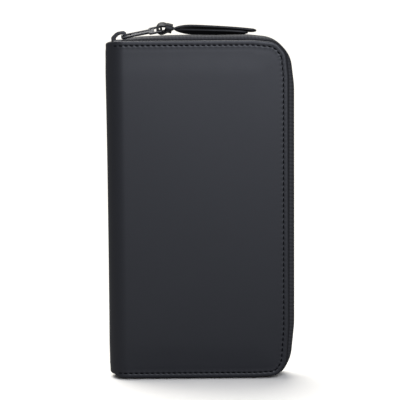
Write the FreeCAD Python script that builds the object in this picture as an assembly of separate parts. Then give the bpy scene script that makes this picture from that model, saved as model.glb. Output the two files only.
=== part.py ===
import FreeCAD, Part
import math
import os

# Zip-around travel document organizer, standing on its lower zip band.
# +Z runs up the long side, the front cover faces -Y, the rounded spine is at -X.
# The origin is the middle of the footprint, on the surface it stands on. Millimetres.

V = FreeCAD.Vector

# Overall size
WIDTH = 120.0
HEIGHT = 222.0
DEPTH = 24.0
HALF_DEPTH = DEPTH / 2
SPINE_X = -WIDTH / 2 + HALF_DEPTH

# Zip band outline: how far each corner eases in from the straight sides
BAND_RIGHT = WIDTH / 2
FAR_LEFT = -90.0
TAPE_END_X = -54.0
TRACK_ANGLE = 4.6
TRACK_X = -51.2
TRACK_Z = 218.6
BAND_TO_COVER = 4.0
COVER_SHORT = 2.5
COVER_LIFT = 1.3

# Layers of each half, as distances from the middle plane
LEATHER = 1.1
PADDING = 0.8
BOARD = 0.8
TAPE_LEG = 0.6
LINING = 0.6
PADDING_OUT = HALF_DEPTH - LEATHER
BOARD_OUT = PADDING_OUT - PADDING
LEG_OUT = BOARD_OUT - BOARD
LINING_OUT = LEG_OUT - TAPE_LEG
LINING_IN = LINING_OUT - LINING

# Covers and spine
TURNED_EDGE = 1.0
EDGE_ROUND = 0.8
HINGE_ANGLE = 45.0
HINGE_GAP_ANGLE = 1.0
SPINE_TOP = 218.4
SPINE_BOTTOM = 3.0
SPINE_LINING_TOP = 213.0
SPINE_LINING_BOTTOM = 8.0

# Zip
TAPE_THICK = 0.7
TAPE_LEG_WIDTH = 9.0
TAPE_GAP = 0.35
COIL_WIDTH = 1.6
COIL_DEPTH = 1.5
FRONT_COIL_START = -45.5
BACK_COIL_START = -53.0

# Slider, in its own frame: u along the track, w outwards from the tape
SLIDER_LENGTH = 10.0
SLIDER_WIDE = 4.2
SLIDER_NARROW = 3.1
PLATE = 0.9
PLATE_LIFT = 0.2
POST_HALF = 0.25
POST_LENGTH = 2.4
LOWER_PLATE_TOP = -2.9
FLANGE_TOP = -1.2
FLANGE = 0.7
BAIL_HALF = 0.9

# Pull, as a flat ring before it is rolled and lifted
PIVOT_X = -49.4
PIVOT_Z = 221.6
PULL_LIFT = 11.0
PULL_ROLL = 20.0
PULL_LENGTH = 26.0
PULL_BAR = 1.4
NECK_LENGTH = 17.0
NECK_HALF = 2.6
NECK_SLOT_HALF = 1.5
HEAD_HALF = 4.75
HEAD_SLOT_HALF = 3.5
WEB_START = 6.0
WEB_END = 20.0
WEB_THICK = 0.5

# Strap tied to the pull
STRAP_WIDTH = 6.0
STRAP_THICK = 1.4
EYE_RADIUS = 1.05
EYE_REACH = 2.4

# Pockets
POCKET_WALL = 0.6
POCKET_LEFT = -42.0
TICKET_MOUTH = 48.0
SLEEVE_MOUTH = 30.0
CARD_STEP = 12.0
CARD_SLOTS = 4
CARD_FIRST_MOUTH = 43.0
CARD_LEFT = -40.0
CARD_COLUMNS = ((14.0, 104.0), (110.0, 200.0))


def in_plane(x, z):
    return V(x, 0, z)


def track_height(x):
    """Height of the band's outer face above the slider's straight run."""
    return TRACK_Z + (x - TRACK_X) * math.tan(math.radians(TRACK_ANGLE))


def rounded_wire(corners):
    """Closed wire in the XZ plane through (x, z, radius) corners, each one rounded."""
    edges = []
    starts = []
    ends = []
    middles = []
    count = len(corners)
    for index, (x, z, radius) in enumerate(corners):
        here = in_plane(x, z)
        before = in_plane(*corners[index - 1][:2])
        after = in_plane(*corners[(index + 1) % count][:2])
        arrive = (here - before).normalize()
        leave = (after - here).normalize()
        turn = math.acos(max(-1.0, min(1.0, arrive.dot(leave))))
        setback = radius * math.tan(turn / 2)
        starts.append(here - arrive * setback)
        ends.append(here + leave * setback)
        inward = (leave - arrive).normalize()
        apex = radius * (1 / math.cos(turn / 2) - 1)
        middles.append(here + inward * apex)
    for index in range(count):
        if corners[index][2] > 0:
            edges.append(Part.Arc(starts[index], middles[index], ends[index]).toShape())
        following = (index + 1) % count
        edges.append(Part.LineSegment(ends[index], starts[following]).toShape())
    return Part.Wire(edges)


def band_corners():
    """Outer outline of the zip band, run on past the spine so that its ends can be trimmed."""
    level_x = TRACK_X + (HEIGHT - TRACK_Z) / math.tan(math.radians(TRACK_ANGLE))
    return [
        (FAR_LEFT, track_height(FAR_LEFT), 0.0),
        (level_x, HEIGHT, 0.0),
        (31.0, HEIGHT, 60.0),
        (47.5, 220.1, 20.0),
        (57.7, 209.2, 20.0),
        (BAND_RIGHT, 190.0, 60.0),
        (BAND_RIGHT, 36.0, 60.0),
        (57.2, 15.0, 25.0),
        (50.2, 2.2, 12.0),
        (32.0, 0.0, 60.0),
        (-34.0, 0.0, 60.0),
        (-50.0, 1.4, 0.0),
        (FAR_LEFT, 4.0, 0.0),
    ]


def cover_corners():
    """Outline of a cover, inside the band on three sides."""
    top = HEIGHT - COVER_SHORT
    right = BAND_RIGHT - BAND_TO_COVER
    return [
        (SPINE_X, top, 0.0),
        (34.0, top, 50.0),
        (48.5, 217.9, 8.0),
        (54.6, 210.4, 9.0),
        (right, 196.0, 50.0),
        (right, 35.0, 50.0),
        (54.4, 10.8, 12.0),
        (49.6, 2.1, 6.0),
        (34.0, COVER_LIFT, 50.0),
        (SPINE_X, COVER_LIFT, 0.0),
    ]


def slab(wire, near, far):
    """Solid between two distances from the middle plane, on the back half."""
    face = Part.Face(wire)
    solid = face.extrude(V(0, far - near, 0))
    solid.translate(V(0, near, 0))
    return solid


def inset(wire, distance):
    """The same outline, drawn in by a distance."""
    smaller = wire.makeOffset2D(-distance)
    if Part.Face(smaller).Area > Part.Face(wire).Area:
        smaller = wire.makeOffset2D(distance)
    return smaller


def box(x_low, x_high, y_low, y_high, z_low, z_high):
    return Part.makeBox(x_high - x_low, y_high - y_low, z_high - z_low, V(x_low, y_low, z_low))


def arc_shell(outer, inner, start, stop, z_low, z_high):
    """Part of a tube about the spine's axis, between two angles from +X."""
    base = V(SPINE_X, 0, z_low)
    height = z_high - z_low
    solid = Part.makeCylinder(outer, height, base, V(0, 0, 1), stop - start)
    core = Part.makeCylinder(inner, height, base, V(0, 0, 1), 360)
    shell = solid.cut(core)
    shell.rotate(base, V(0, 0, 1), start)
    return shell


def cover_arc(outer, inner, z_low, z_high):
    """The back half's share of the rounded spine."""
    return arc_shell(outer, inner, 90.0, 90.0 + HINGE_ANGLE - HINGE_GAP_ANGLE, z_low, z_high)


def spine_arc(outer, inner, z_low, z_high):
    """The middle share of the rounded spine."""
    start = 90.0 + HINGE_ANGLE + HINGE_GAP_ANGLE
    return arc_shell(outer, inner, start, 360.0 - start, z_low, z_high)


def front_of(solid):
    """The front half's copy of a back half piece."""
    return solid.mirror(V(0, 0, 0), V(0, 1, 0))


def one_solid(shape):
    cleaned = shape.removeSplitter()
    return cleaned.Solids[0] if len(cleaned.Solids) == 1 else cleaned


def round_outer_rim(solid):
    """Eases the cover's outer edge on its three free sides."""
    rim = []
    for edge in solid.Edges:
        bounds = edge.BoundBox
        on_face = abs(bounds.YMin - HALF_DEPTH) < 1e-6 and abs(bounds.YMax - HALF_DEPTH) < 1e-6
        if on_face and bounds.XMax > SPINE_X + 0.1:
            rim.append(edge)
    return solid.makeFillet(EDGE_ROUND, rim)


def cover():
    outline = rounded_wire(cover_corners())
    shell = round_outer_rim(slab(outline, LEG_OUT, HALF_DEPTH))
    hollow = slab(inset(outline, TURNED_EDGE), LEG_OUT, PADDING_OUT)
    behind = box(SPINE_X - 1, SPINE_X + 2, LEG_OUT, PADDING_OUT, COVER_SHORT + 1, HEIGHT - COVER_SHORT - 1)
    tray = shell.cut(hollow).cut(behind)
    arc = cover_arc(HALF_DEPTH, PADDING_OUT, COVER_SHORT, HEIGHT - COVER_SHORT)
    return one_solid(tray.fuse(arc))


def padding():
    outline = inset(rounded_wire(cover_corners()), TURNED_EDGE)
    sheet = slab(outline, BOARD_OUT, PADDING_OUT)
    edge = COVER_SHORT + TURNED_EDGE
    bridge = box(SPINE_X, SPINE_X + 2, BOARD_OUT, PADDING_OUT, edge, HEIGHT - edge)
    arc = cover_arc(PADDING_OUT, BOARD_OUT, edge, HEIGHT - edge)
    return one_solid(sheet.fuse(bridge).fuse(arc))


def board():
    return slab(inset(rounded_wire(cover_corners()), TURNED_EDGE), LEG_OUT, BOARD_OUT)


def lining():
    outline = inset(rounded_wire(cover_corners()), TURNED_EDGE)
    sheet = slab(outline, LINING_IN, LINING_OUT)
    edge = COVER_SHORT + TURNED_EDGE
    bridge = box(SPINE_X, SPINE_X + 2, LINING_IN, LINING_OUT, edge, HEIGHT - edge)
    arc = cover_arc(LINING_OUT, LINING_IN, SPINE_LINING_BOTTOM, SPINE_LINING_TOP)
    return one_solid(sheet.fuse(bridge).fuse(arc))


def zip_tape():
    """One tape: a wall around three sides, and the leg sewn under the cover's edge."""
    outline = rounded_wire(band_corners())
    wall = slab(outline, TAPE_GAP, LEG_OUT).cut(slab(inset(outline, TAPE_THICK), TAPE_GAP, LEG_OUT))
    leg = slab(outline, LINING_OUT, LEG_OUT).cut(slab(inset(outline, TAPE_LEG_WIDTH), LINING_OUT, LEG_OUT))
    within = slab(rounded_wire(spine_end_corners()), 0.0, LEG_OUT)
    reach = tape_end_shape()
    return one_solid(wall.fuse(leg).common(within).common(reach))


def spine_end_corners():
    return [
        (TAPE_END_X, HEIGHT + 1, 0.0),
        (BAND_RIGHT + 1, HEIGHT + 1, 0.0),
        (BAND_RIGHT + 1, -1.0, 0.0),
        (TAPE_END_X, -1.0, 0.0),
    ]


def tape_end_shape():
    """Keeps the tape's ends inside the curve of the spine lining."""
    right = box(SPINE_X, BAND_RIGHT + 1, 0, LEG_OUT, -1, HEIGHT + 1)
    rounded = Part.makeCylinder(LINING_IN - 0.3, HEIGHT + 2, V(SPINE_X, 0, -1), V(0, 0, 1), 360)
    return right.fuse(rounded)


def zip_coil(start_x):
    """One row of coil teeth, on the inner face of its tape."""
    outline = rounded_wire(band_corners())
    outer = inset(outline, TAPE_THICK)
    inner = inset(outline, TAPE_THICK + COIL_DEPTH)
    far = TAPE_GAP + COIL_WIDTH
    ring = slab(outer, TAPE_GAP, far).cut(slab(inner, TAPE_GAP, far))
    upper = box(start_x, BAND_RIGHT + 1, 0, far + 1, HEIGHT / 2, HEIGHT + 1)
    lower = box(TAPE_END_X + 1, BAND_RIGHT + 1, 0, far + 1, -1, HEIGHT / 2)
    return one_solid(ring.common(upper.fuse(lower)))


def spine_cover():
    return spine_arc(HALF_DEPTH, PADDING_OUT, SPINE_BOTTOM, SPINE_TOP)


def spine_padding():
    return spine_arc(PADDING_OUT, BOARD_OUT, SPINE_LINING_BOTTOM, SPINE_LINING_TOP)


def spine_lining():
    return spine_arc(LINING_OUT, LINING_IN, SPINE_LINING_BOTTOM, SPINE_LINING_TOP)


def pocket(mouth, z_low, z_high, outer, step):
    """Slip pocket sewn on three sides, open towards the zip; its wall faces inwards."""
    inner = outer - step - POCKET_WALL
    body = box(POCKET_LEFT, mouth, inner, outer, z_low, z_high)
    seam = 1.5
    room = box(POCKET_LEFT + seam, mouth + 1, outer - step, outer, z_low + seam, z_high - seam)
    return body.cut(room)


def card_slot(index, column):
    """One stepped card slot; later slots lie nearer the middle and stop sooner."""
    z_low, z_high = CARD_COLUMNS[column]
    far = ticket_face() - index * POCKET_WALL
    mouth = CARD_FIRST_MOUTH - index * CARD_STEP
    return box(CARD_LEFT, mouth, far - POCKET_WALL, far, z_low, z_high)


def ticket_face():
    """Distance of the ticket pocket's inner face from the middle plane."""
    return LINING_IN - 0.5 - POCKET_WALL


def to_track(solid):
    """Moves a piece from the slider's own frame onto the track."""
    solid.rotate(V(0, 0, 0), V(0, -1, 0), TRACK_ANGLE)
    solid.translate(V(TRACK_X, 0, TRACK_Z + PLATE_LIFT))
    return solid


def slider_plate(w_low, w_high):
    """Shield-shaped plate, wide at its nose."""
    half = SLIDER_LENGTH / 2
    points = [
        V(-half, -1.6, w_low),
        V(-half + 1.6, -SLIDER_WIDE, w_low),
        V(-0.5, -SLIDER_WIDE, w_low),
        V(half, -SLIDER_NARROW, w_low),
        V(half, SLIDER_NARROW, w_low),
        V(-0.5, SLIDER_WIDE, w_low),
        V(-half + 1.6, SLIDER_WIDE, w_low),
        V(-half, 1.6, w_low),
    ]
    wire = Part.makePolygon(points + [points[0]])
    return Part.Face(wire).extrude(V(0, 0, w_high - w_low))


def slider_body():
    """Outer plate, post between the coils, and a flanged plate on the inside."""
    half = SLIDER_LENGTH / 2
    top = slider_plate(0.0, PLATE)
    top = top.makeFillet(0.3, [edge for edge in top.Edges if edge.BoundBox.ZMin > PLATE - 0.01])
    bottom = slider_plate(LOWER_PLATE_TOP - PLATE, FLANGE_TOP)
    channel = box(-half - 1, half + 1, -SLIDER_NARROW + FLANGE, SLIDER_NARROW - FLANGE, LOWER_PLATE_TOP, 0)
    bottom = bottom.cut(channel)
    post = box(-half, -half + POST_LENGTH, -POST_HALF, POST_HALF, LOWER_PLATE_TOP - 0.2, 0.2)
    return to_track(one_solid(top.fuse(post).fuse(bottom)))


def slider_bail():
    """Arch over the slider that holds the pull."""
    arch = rounded_wire([
        (-5.0, PLATE, 0.0),
        (-5.0, 2.7, 1.2),
        (-0.6, 5.2, 4.0),
        (4.0, 5.5, 1.0),
        (4.9, 4.6, 0.8),
        (4.9, PLATE, 0.0),
    ])
    gap = rounded_wire([
        (-3.5, PLATE, 0.0),
        (-3.5, 1.9, 0.6),
        (0.0, 4.0, 2.0),
        (3.3, 4.0, 0.8),
        (3.3, PLATE, 0.0),
    ])
    solid = slab(arch, -BAIL_HALF, BAIL_HALF).cut(slab(gap, -BAIL_HALF, BAIL_HALF))
    return to_track(solid)


def to_pull(solid, reach):
    """Moves a piece from the pull's own frame to its place; reach is along the pull."""
    solid.translate(V(reach, 0, 0))
    solid.rotate(V(0, 0, 0), V(1, 0, 0), PULL_ROLL)
    solid.rotate(V(0, 0, 0), V(0, -1, 0), PULL_LIFT)
    solid.translate(V(PIVOT_X, 0, PIVOT_Z))
    return solid


def stepped_ring(start, stop, narrow, wide, step_at, height):
    """Flat T-shaped outline, narrow to step_at and wide beyond it."""
    narrow_part = box(start, step_at + 0.5, -narrow, narrow, -height / 2, height / 2)
    wide_part = box(step_at, stop, -wide, wide, -height / 2, height / 2)
    return one_solid(narrow_part.fuse(wide_part))


def round_corners(solid, radius):
    """Rounds the corners of a flat plate as seen from above."""
    upright = [edge for edge in solid.Edges if edge.BoundBox.XLength + edge.BoundBox.YLength < 1e-4]
    return solid.makeFillet(radius, upright)


def pull_frame():
    """Flat metal ring with a thin web: a narrow neck for the bail and a wide head for the strap."""
    start = -PULL_BAR / 2
    plate = stepped_ring(start, PULL_LENGTH, NECK_HALF, HEAD_HALF, NECK_LENGTH, PULL_BAR)
    plate = round_corners(plate, 1.0)
    slot_end = PULL_LENGTH - PULL_BAR
    step_at = NECK_LENGTH + PULL_BAR
    slot = stepped_ring(-start, slot_end, NECK_SLOT_HALF, HEAD_SLOT_HALF, step_at, 3 * PULL_BAR)
    slot = round_corners(slot, 0.4)
    ring = plate.cut(slot)
    faces_up = [edge for edge in ring.Edges if edge.BoundBox.ZLength < 1e-4]
    ring = ring.makeFillet(0.45, faces_up)
    web = stepped_ring(WEB_START, WEB_END, NECK_HALF - 0.5, HEAD_HALF - 0.5, step_at, WEB_THICK)
    return to_pull(one_solid(ring.fuse(web)), 0.0)


def strap_bar_reach():
    """Distance from the pull's pivot to the bar that the strap is tied to."""
    return PULL_LENGTH - PULL_BAR / 2


def knot():
    """Cow hitch round the bar, as one lump with an eye that turns about it."""
    outline = Part.BSplineCurve()
    outline.interpolate(
        [
            in_plane(-2.7, 0.0),
            in_plane(-1.6, 2.6),
            in_plane(1.5, 3.4),
            in_plane(5.2, 2.2),
            in_plane(8.0, -0.4),
            in_plane(6.5, -3.4),
            in_plane(3.2, -3.9),
            in_plane(-0.6, -2.8),
        ],
        PeriodicFlag=True,
    )
    lump = slab(Part.Wire([outline.toShape()]), -STRAP_WIDTH / 2, STRAP_WIDTH / 2)
    eye = rounded_wire([
        (-EYE_RADIUS, EYE_RADIUS, EYE_RADIUS * 0.9),
        (EYE_REACH, EYE_RADIUS, EYE_RADIUS * 0.6),
        (EYE_REACH, -EYE_RADIUS, EYE_RADIUS * 0.6),
        (-EYE_RADIUS, -EYE_RADIUS, EYE_RADIUS * 0.9),
    ])
    return to_pull(lump.cut(slab(eye, -STRAP_WIDTH, STRAP_WIDTH)), strap_bar_reach())


def tail(top_points):
    """One free end of the strap, as a strip of even thickness under its top line."""
    top = Part.BSplineCurve()
    top.interpolate([in_plane(x, z) for x, z in top_points])
    bottom = Part.BSplineCurve()
    bottom.interpolate([in_plane(x, z - STRAP_THICK) for x, z in reversed(top_points)])
    first_x, first_z = top_points[0]
    last_x, last_z = top_points[-1]
    tip = Part.LineSegment(in_plane(last_x, last_z), in_plane(last_x, last_z - STRAP_THICK))
    root = Part.LineSegment(in_plane(first_x, first_z - STRAP_THICK), in_plane(first_x, first_z))
    wire = Part.Wire([top.toShape(), tip.toShape(), bottom.toShape(), root.toShape()])
    return slab(wire, -STRAP_WIDTH / 2, STRAP_WIDTH / 2)


def pull_strap():
    upper = tail([(-20.0, 227.8), (-10.0, 228.5), (5.0, 227.9), (20.0, 226.8), (36.3, 225.2)])
    lower = tail([(-20.0, 225.9), (-10.0, 225.9), (5.0, 225.1), (18.0, 224.4), (30.9, 223.8)])
    return one_solid(knot().fuse(upper).fuse(lower))


def build():
    pieces = {
        "back_cover": cover(),
        "back_padding": padding(),
        "back_board": board(),
        "back_lining": lining(),
        "back_zip_tape": zip_tape(),
        "back_zip_coil": zip_coil(BACK_COIL_START),
        "back_ticket_pocket": pocket(TICKET_MOUTH, 12.0, 206.0, LINING_IN, 0.5),
        "passport_sleeve": pocket(SLEEVE_MOUTH, 36.0, 172.0, ticket_face(), 0.6),
        "spine_cover": spine_cover(),
        "spine_padding": spine_padding(),
        "spine_lining": spine_lining(),
        "front_cover": front_of(cover()),
        "front_padding": front_of(padding()),
        "front_board": front_of(board()),
        "front_lining": front_of(lining()),
        "front_zip_tape": front_of(zip_tape()),
        "front_zip_coil": front_of(zip_coil(FRONT_COIL_START)),
        "front_ticket_pocket": front_of(pocket(TICKET_MOUTH, 12.0, 206.0, LINING_IN, 0.5)),
        "slider_body": slider_body(),
        "slider_bail": slider_bail(),
        "pull_frame": pull_frame(),
        "pull_strap": pull_strap(),
    }
    for column, place in enumerate(("lower", "upper")):
        for index in range(CARD_SLOTS):
            name = f"card_slot_{place}_{index + 1}"
            pieces[name] = front_of(card_slot(index, column))
    return pieces


def main():
    os.makedirs("parts", exist_ok=True)
    for name, shape in build().items():
        solids = shape.Solids
        print(f"{name:22s} solids={len(solids)} valid={shape.isValid()} volume={shape.Volume:10.2f}")
        shape.exportStep(f"parts/{name}.step")


main()
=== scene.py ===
"""Travel document organizer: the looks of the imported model, built in its own frame.

Sizes are in millimetres, and meshes are scaled to metres as they are made. +Z runs up the long side,
the front cover faces -Y and the rounded spine is at -X.
"""

import logging
import math
from dataclasses import dataclass, field
from enum import Enum
from typing import Sequence

import bmesh
import bpy
import numpy as np
from mathutils import Matrix, Vector, geometry


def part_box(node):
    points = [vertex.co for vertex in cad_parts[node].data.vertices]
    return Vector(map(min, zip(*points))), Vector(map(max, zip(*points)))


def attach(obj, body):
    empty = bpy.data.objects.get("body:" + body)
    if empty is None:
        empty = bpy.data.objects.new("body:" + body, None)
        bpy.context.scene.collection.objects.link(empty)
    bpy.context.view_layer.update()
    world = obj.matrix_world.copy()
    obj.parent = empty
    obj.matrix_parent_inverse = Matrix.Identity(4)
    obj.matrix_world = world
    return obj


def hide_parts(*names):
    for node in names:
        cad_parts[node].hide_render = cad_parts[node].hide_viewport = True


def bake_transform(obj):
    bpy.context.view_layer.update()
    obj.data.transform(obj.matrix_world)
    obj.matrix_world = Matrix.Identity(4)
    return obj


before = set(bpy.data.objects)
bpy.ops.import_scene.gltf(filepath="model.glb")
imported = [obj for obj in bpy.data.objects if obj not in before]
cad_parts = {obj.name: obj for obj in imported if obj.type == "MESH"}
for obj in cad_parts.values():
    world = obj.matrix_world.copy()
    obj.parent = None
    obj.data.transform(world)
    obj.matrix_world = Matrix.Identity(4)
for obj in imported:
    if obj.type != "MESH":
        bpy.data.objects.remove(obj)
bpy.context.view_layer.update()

LOG = logging.getLogger("organizer")
MM = 0.001
Points = np.ndarray


# ---------------------------------------------------------------- frame measurements


def node_box(name: str) -> tuple[Vector, Vector]:
    """Returns a CAD node's lowest and highest corners, in millimetres."""
    low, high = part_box(name)
    return low / MM, high / MM


class Side(Enum):
    """One half of the organizer; the value is the sign of its y."""

    FRONT = -1
    BACK = 1

    @property
    def prefix(self) -> str:
        """The first word of this half's node names."""
        return "front" if self is Side.FRONT else "back"

    @property
    def body(self) -> str:
        """The body that this half's pieces ride on."""
        return f"{self.prefix}_half"


@dataclass(frozen=True)
class Outline:
    """Main measurements of the organizer, read from the frame."""

    half_depth: float
    spine_x: float
    cover_right: float
    cover_top: float
    cover_bottom: float
    spine_top: float
    spine_bottom: float
    band_right: float
    height: float
    leg_y: float
    tape_left: float

    @classmethod
    def from_frame(cls) -> "Outline":
        """Reads the measurements from the CAD nodes' boxes."""
        cover_low, cover_high = node_box("back_cover")
        spine_low, spine_high = node_box("spine_cover")
        tape_low, tape_high = node_box("back_zip_tape")
        return cls(
            half_depth=cover_high.y,
            spine_x=spine_low.x + cover_high.y,
            cover_right=cover_high.x,
            cover_top=cover_high.z,
            cover_bottom=cover_low.z,
            spine_top=spine_high.z,
            spine_bottom=spine_low.z,
            band_right=tape_high.x,
            height=tape_high.z,
            leg_y=tape_high.y,
            tape_left=tape_low.x,
        )


SHAPE = Outline.from_frame()
HALF_TURN = math.pi * SHAPE.half_depth / 2
TRACK_ANGLE = 4.6
LEVEL_X = -9.2


# ---------------------------------------------------------------- lines and meshes


@dataclass(frozen=True)
class Corner:
    """A corner of an outline, with the radius it is rounded to."""

    x: float
    z: float
    radius: float = 0.0


class Path:
    """A line with rounded corners in a plane, as evenly spaced points with tangents."""

    def __init__(self, corners: Sequence[Corner], step: float) -> None:
        """Samples the line.

        Args:
            corners: The line's corners in order, clockwise round the object.
            step: The distance between points.
        """
        raw = self._trace(corners)
        lengths = np.concatenate([[0.0], np.cumsum(np.linalg.norm(np.diff(raw, axis=0), axis=1))])
        count = max(2, round(lengths[-1] / step) + 1)
        self.along = np.linspace(0.0, lengths[-1], count)
        self.points = np.stack([np.interp(self.along, lengths, raw[:, i]) for i in (0, 1)], axis=1)
        tangent = np.gradient(self.points, axis=0)
        self.tangents = tangent / np.linalg.norm(tangent, axis=1)[:, None]
        self.inward = np.stack([self.tangents[:, 1], -self.tangents[:, 0]], axis=1)

    @staticmethod
    def _trace(corners: Sequence[Corner]) -> Points:
        """Rounds the corners.

        Args:
            corners: The line's corners in order.

        Returns:
            The line as dense points, with a curve at each corner.
        """
        traced = [np.array([corners[0].x, corners[0].z])]
        for before, here, after in zip(corners, corners[1:], corners[2:]):
            at = np.array([here.x, here.z])
            arrive = at - np.array([before.x, before.z])
            leave = np.array([after.x, after.z]) - at
            arrive /= np.linalg.norm(arrive)
            leave /= np.linalg.norm(leave)
            turn = math.acos(max(-1.0, min(1.0, float(arrive @ leave))))
            setback = here.radius * math.tan(turn / 2)
            for share in np.linspace(0.0, 1.0, 17):
                start, end = at - arrive * setback, at + leave * setback
                traced.append((1 - share) ** 2 * start + 2 * share * (1 - share) * at + share**2 * end)
        traced.append(np.array([corners[-1].x, corners[-1].z]))
        return np.array(traced)

    def offset(self, distance: float) -> Points:
        """Returns the points moved inwards by a distance."""
        return self.points + self.inward * distance


def smoothstep(value: Points, low: float, high: float) -> Points:
    """Returns 0 below low, 1 above high, and a smooth rise between."""
    share = np.clip((value - low) / (high - low), 0.0, 1.0)
    return share * share * (3 - 2 * share)


def new_object(
    name: str, mesh: bpy.types.Mesh, material: bpy.types.Material | None = None
) -> bpy.types.Object:
    """Links a new object for a mesh.

    Args:
        name: The piece's name.
        mesh: Its mesh, in metres.
        material: The finish of the whole piece.

    Returns:
        The object, at the origin.
    """
    obj = bpy.data.objects.new(name, mesh)
    bpy.context.scene.collection.objects.link(obj)
    if material is not None:
        mesh.materials.clear()
        mesh.materials.append(material)
    return obj


def mesh_from(
    name: str, points: Points, faces: Sequence[Sequence[int]], flip: bool = False
) -> bpy.types.Mesh:
    """Makes a smooth mesh.

    Args:
        name: The mesh's name.
        points: Its points, in millimetres.
        faces: Its faces, as lists of point numbers.
        flip: Turns every face over.

    Returns:
        The mesh, in metres.
    """
    mesh = bpy.data.meshes.new(name)
    turned = [tuple(reversed(face)) for face in faces] if flip else faces
    mesh.from_pydata((np.asarray(points) * MM).tolist(), [], turned)
    mesh.polygons.foreach_set("use_smooth", [True] * len(mesh.polygons))
    mesh.update()
    return mesh


def grid_faces(rows: int, columns: int, closed: bool = False) -> list[tuple[int, int, int, int]]:
    """Returns the quads of a grid of points stored row by row.

    Args:
        rows: The number of rows.
        columns: The number of points in a row.
        closed: Joins the last column to the first.

    Returns:
        Faces that turn from one row towards the next.
    """
    faces = []
    for row in range(rows - 1):
        for column in range(columns if closed else columns - 1):
            right = (column + 1) % columns
            here = row * columns
            faces.append((here + column, here + right, here + columns + right, here + columns + column))
    return faces


def baked(obj: bpy.types.Object) -> bpy.types.Object:
    """Turns an object's modifiers into plain mesh and removes them.

    Args:
        obj: The object, which keeps its name.

    Returns:
        The same object.
    """
    graph = bpy.context.evaluated_depsgraph_get()
    graph.update()
    mesh = bpy.data.meshes.new_from_object(obj.evaluated_get(graph))
    obj.modifiers.clear()
    old = obj.data
    obj.data = mesh
    mesh.name = obj.name
    if old.users == 0:
        bpy.data.meshes.remove(old)
    return obj


def thickened(obj: bpy.types.Object, thickness: float) -> bpy.types.Object:
    """Gives an open surface a wall on its inner side, and makes it plain mesh.

    Args:
        obj: The open surface.
        thickness: The wall's thickness, in millimetres.

    Returns:
        The same object.
    """
    wall = obj.modifiers.new("wall", "SOLIDIFY")
    wall.thickness = thickness * MM
    wall.offset = -1.0
    wall.use_even_offset = False
    return baked(obj)


def flat_plate(
    name: str,
    outlines: Sequence[Sequence[tuple[float, float]]],
    thickness: float,
    bevel: float,
    matrix: Matrix,
    material: bpy.types.Material,
) -> bpy.types.Object:
    """Makes a plate with rounded edges from flat outlines; later outlines are holes.

    Args:
        name: The piece's name.
        outlines: Closed outlines in the plate's own plane, in millimetres.
        thickness: The plate's thickness.
        bevel: The radius of its edges.
        matrix: Where the plate goes, in millimetres.
        material: Its finish.

    Returns:
        The plate as a mesh with its place in its points.
    """
    curve = bpy.data.curves.new(name, "CURVE")
    curve.dimensions = "2D"
    curve.fill_mode = "BOTH"
    curve.extrude = thickness / 2 - bevel
    curve.bevel_depth = bevel
    curve.bevel_resolution = 3
    curve.offset = -bevel
    for outline in outlines:
        spline = curve.splines.new("POLY")
        spline.points.add(len(outline) - 1)
        for point, (x, y) in zip(spline.points, outline):
            point.co = (x, y, 0.0, 1.0)
        spline.use_cyclic_u = True
    holder = bpy.data.objects.new(name + "_outline", curve)
    bpy.context.scene.collection.objects.link(holder)
    graph = bpy.context.evaluated_depsgraph_get()
    mesh = bpy.data.meshes.new_from_object(holder.evaluated_get(graph))
    bpy.data.objects.remove(holder)
    bpy.data.curves.remove(curve)
    merge = bmesh.new()
    merge.from_mesh(mesh)
    bmesh.ops.remove_doubles(merge, verts=merge.verts, dist=1e-4)
    bmesh.ops.recalc_face_normals(merge, faces=merge.faces)
    merge.to_mesh(mesh)
    merge.free()
    mesh.transform(Matrix.Scale(MM, 4) @ matrix)
    mesh.polygons.foreach_set("use_smooth", [True] * len(mesh.polygons))
    mesh.name = name
    obj = new_object(name, mesh, material)
    sharp = obj.modifiers.new("edges", "WEIGHTED_NORMAL")
    sharp.keep_sharp = True
    return baked(obj)


def rounded_polygon(
    corners: Sequence[tuple[float, float, float]], samples: int = 6
) -> list[tuple[float, float]]:
    """Returns a closed outline through (x, y, radius) corners, with arcs at them.

    Args:
        corners: The outline's corners in order.
        samples: The points on each arc.

    Returns:
        The outline's points.
    """
    result: list[tuple[float, float]] = []
    count = len(corners)
    for index, (x, y, radius) in enumerate(corners):
        at = Vector((x, y))
        arrive = (at - Vector(corners[index - 1][:2])).normalized()
        leave = (Vector(corners[(index + 1) % count][:2]) - at).normalized()
        turn = arrive.angle(leave, 0.0)
        setback = radius * math.tan(turn / 2)
        start, end = at - arrive * setback, at + leave * setback
        for step in range(samples if radius > 0 else 1):
            share = step / max(1, samples - 1)
            point = (1 - share) ** 2 * start + 2 * share * (1 - share) * at + share**2 * end
            result.append((point.x, point.y))
    return result


def rounded_block(
    name: str, low: Sequence[float], high: Sequence[float], bevel: float, material: bpy.types.Material
) -> bpy.types.Object:
    """Makes a thin panel with softened edges.

    Args:
        name: The piece's name.
        low: Its lowest corner, in millimetres.
        high: Its highest corner.
        bevel: The radius of its edges.
        material: Its finish.

    Returns:
        The panel.
    """
    shape = bmesh.new()
    bmesh.ops.create_cube(shape, size=1.0)
    for vertex in shape.verts:
        vertex.co = Vector((high[i] if vertex.co[i] > 0 else low[i]) for i in range(3)) * MM
    bmesh.ops.bevel(
        shape,
        geom=shape.edges[:],
        offset=bevel * MM,
        segments=3,
        profile=0.5,
        affect="EDGES",
        clamp_overlap=True,
    )
    mesh = bpy.data.meshes.new(name)
    shape.to_mesh(mesh)
    shape.free()
    mesh.polygons.foreach_set("use_smooth", [True] * len(mesh.polygons))
    obj = new_object(name, mesh, material)
    even = obj.modifiers.new("edges", "WEIGHTED_NORMAL")
    even.keep_sharp = True
    return baked(obj)


# ---------------------------------------------------------------- finishes


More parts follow.
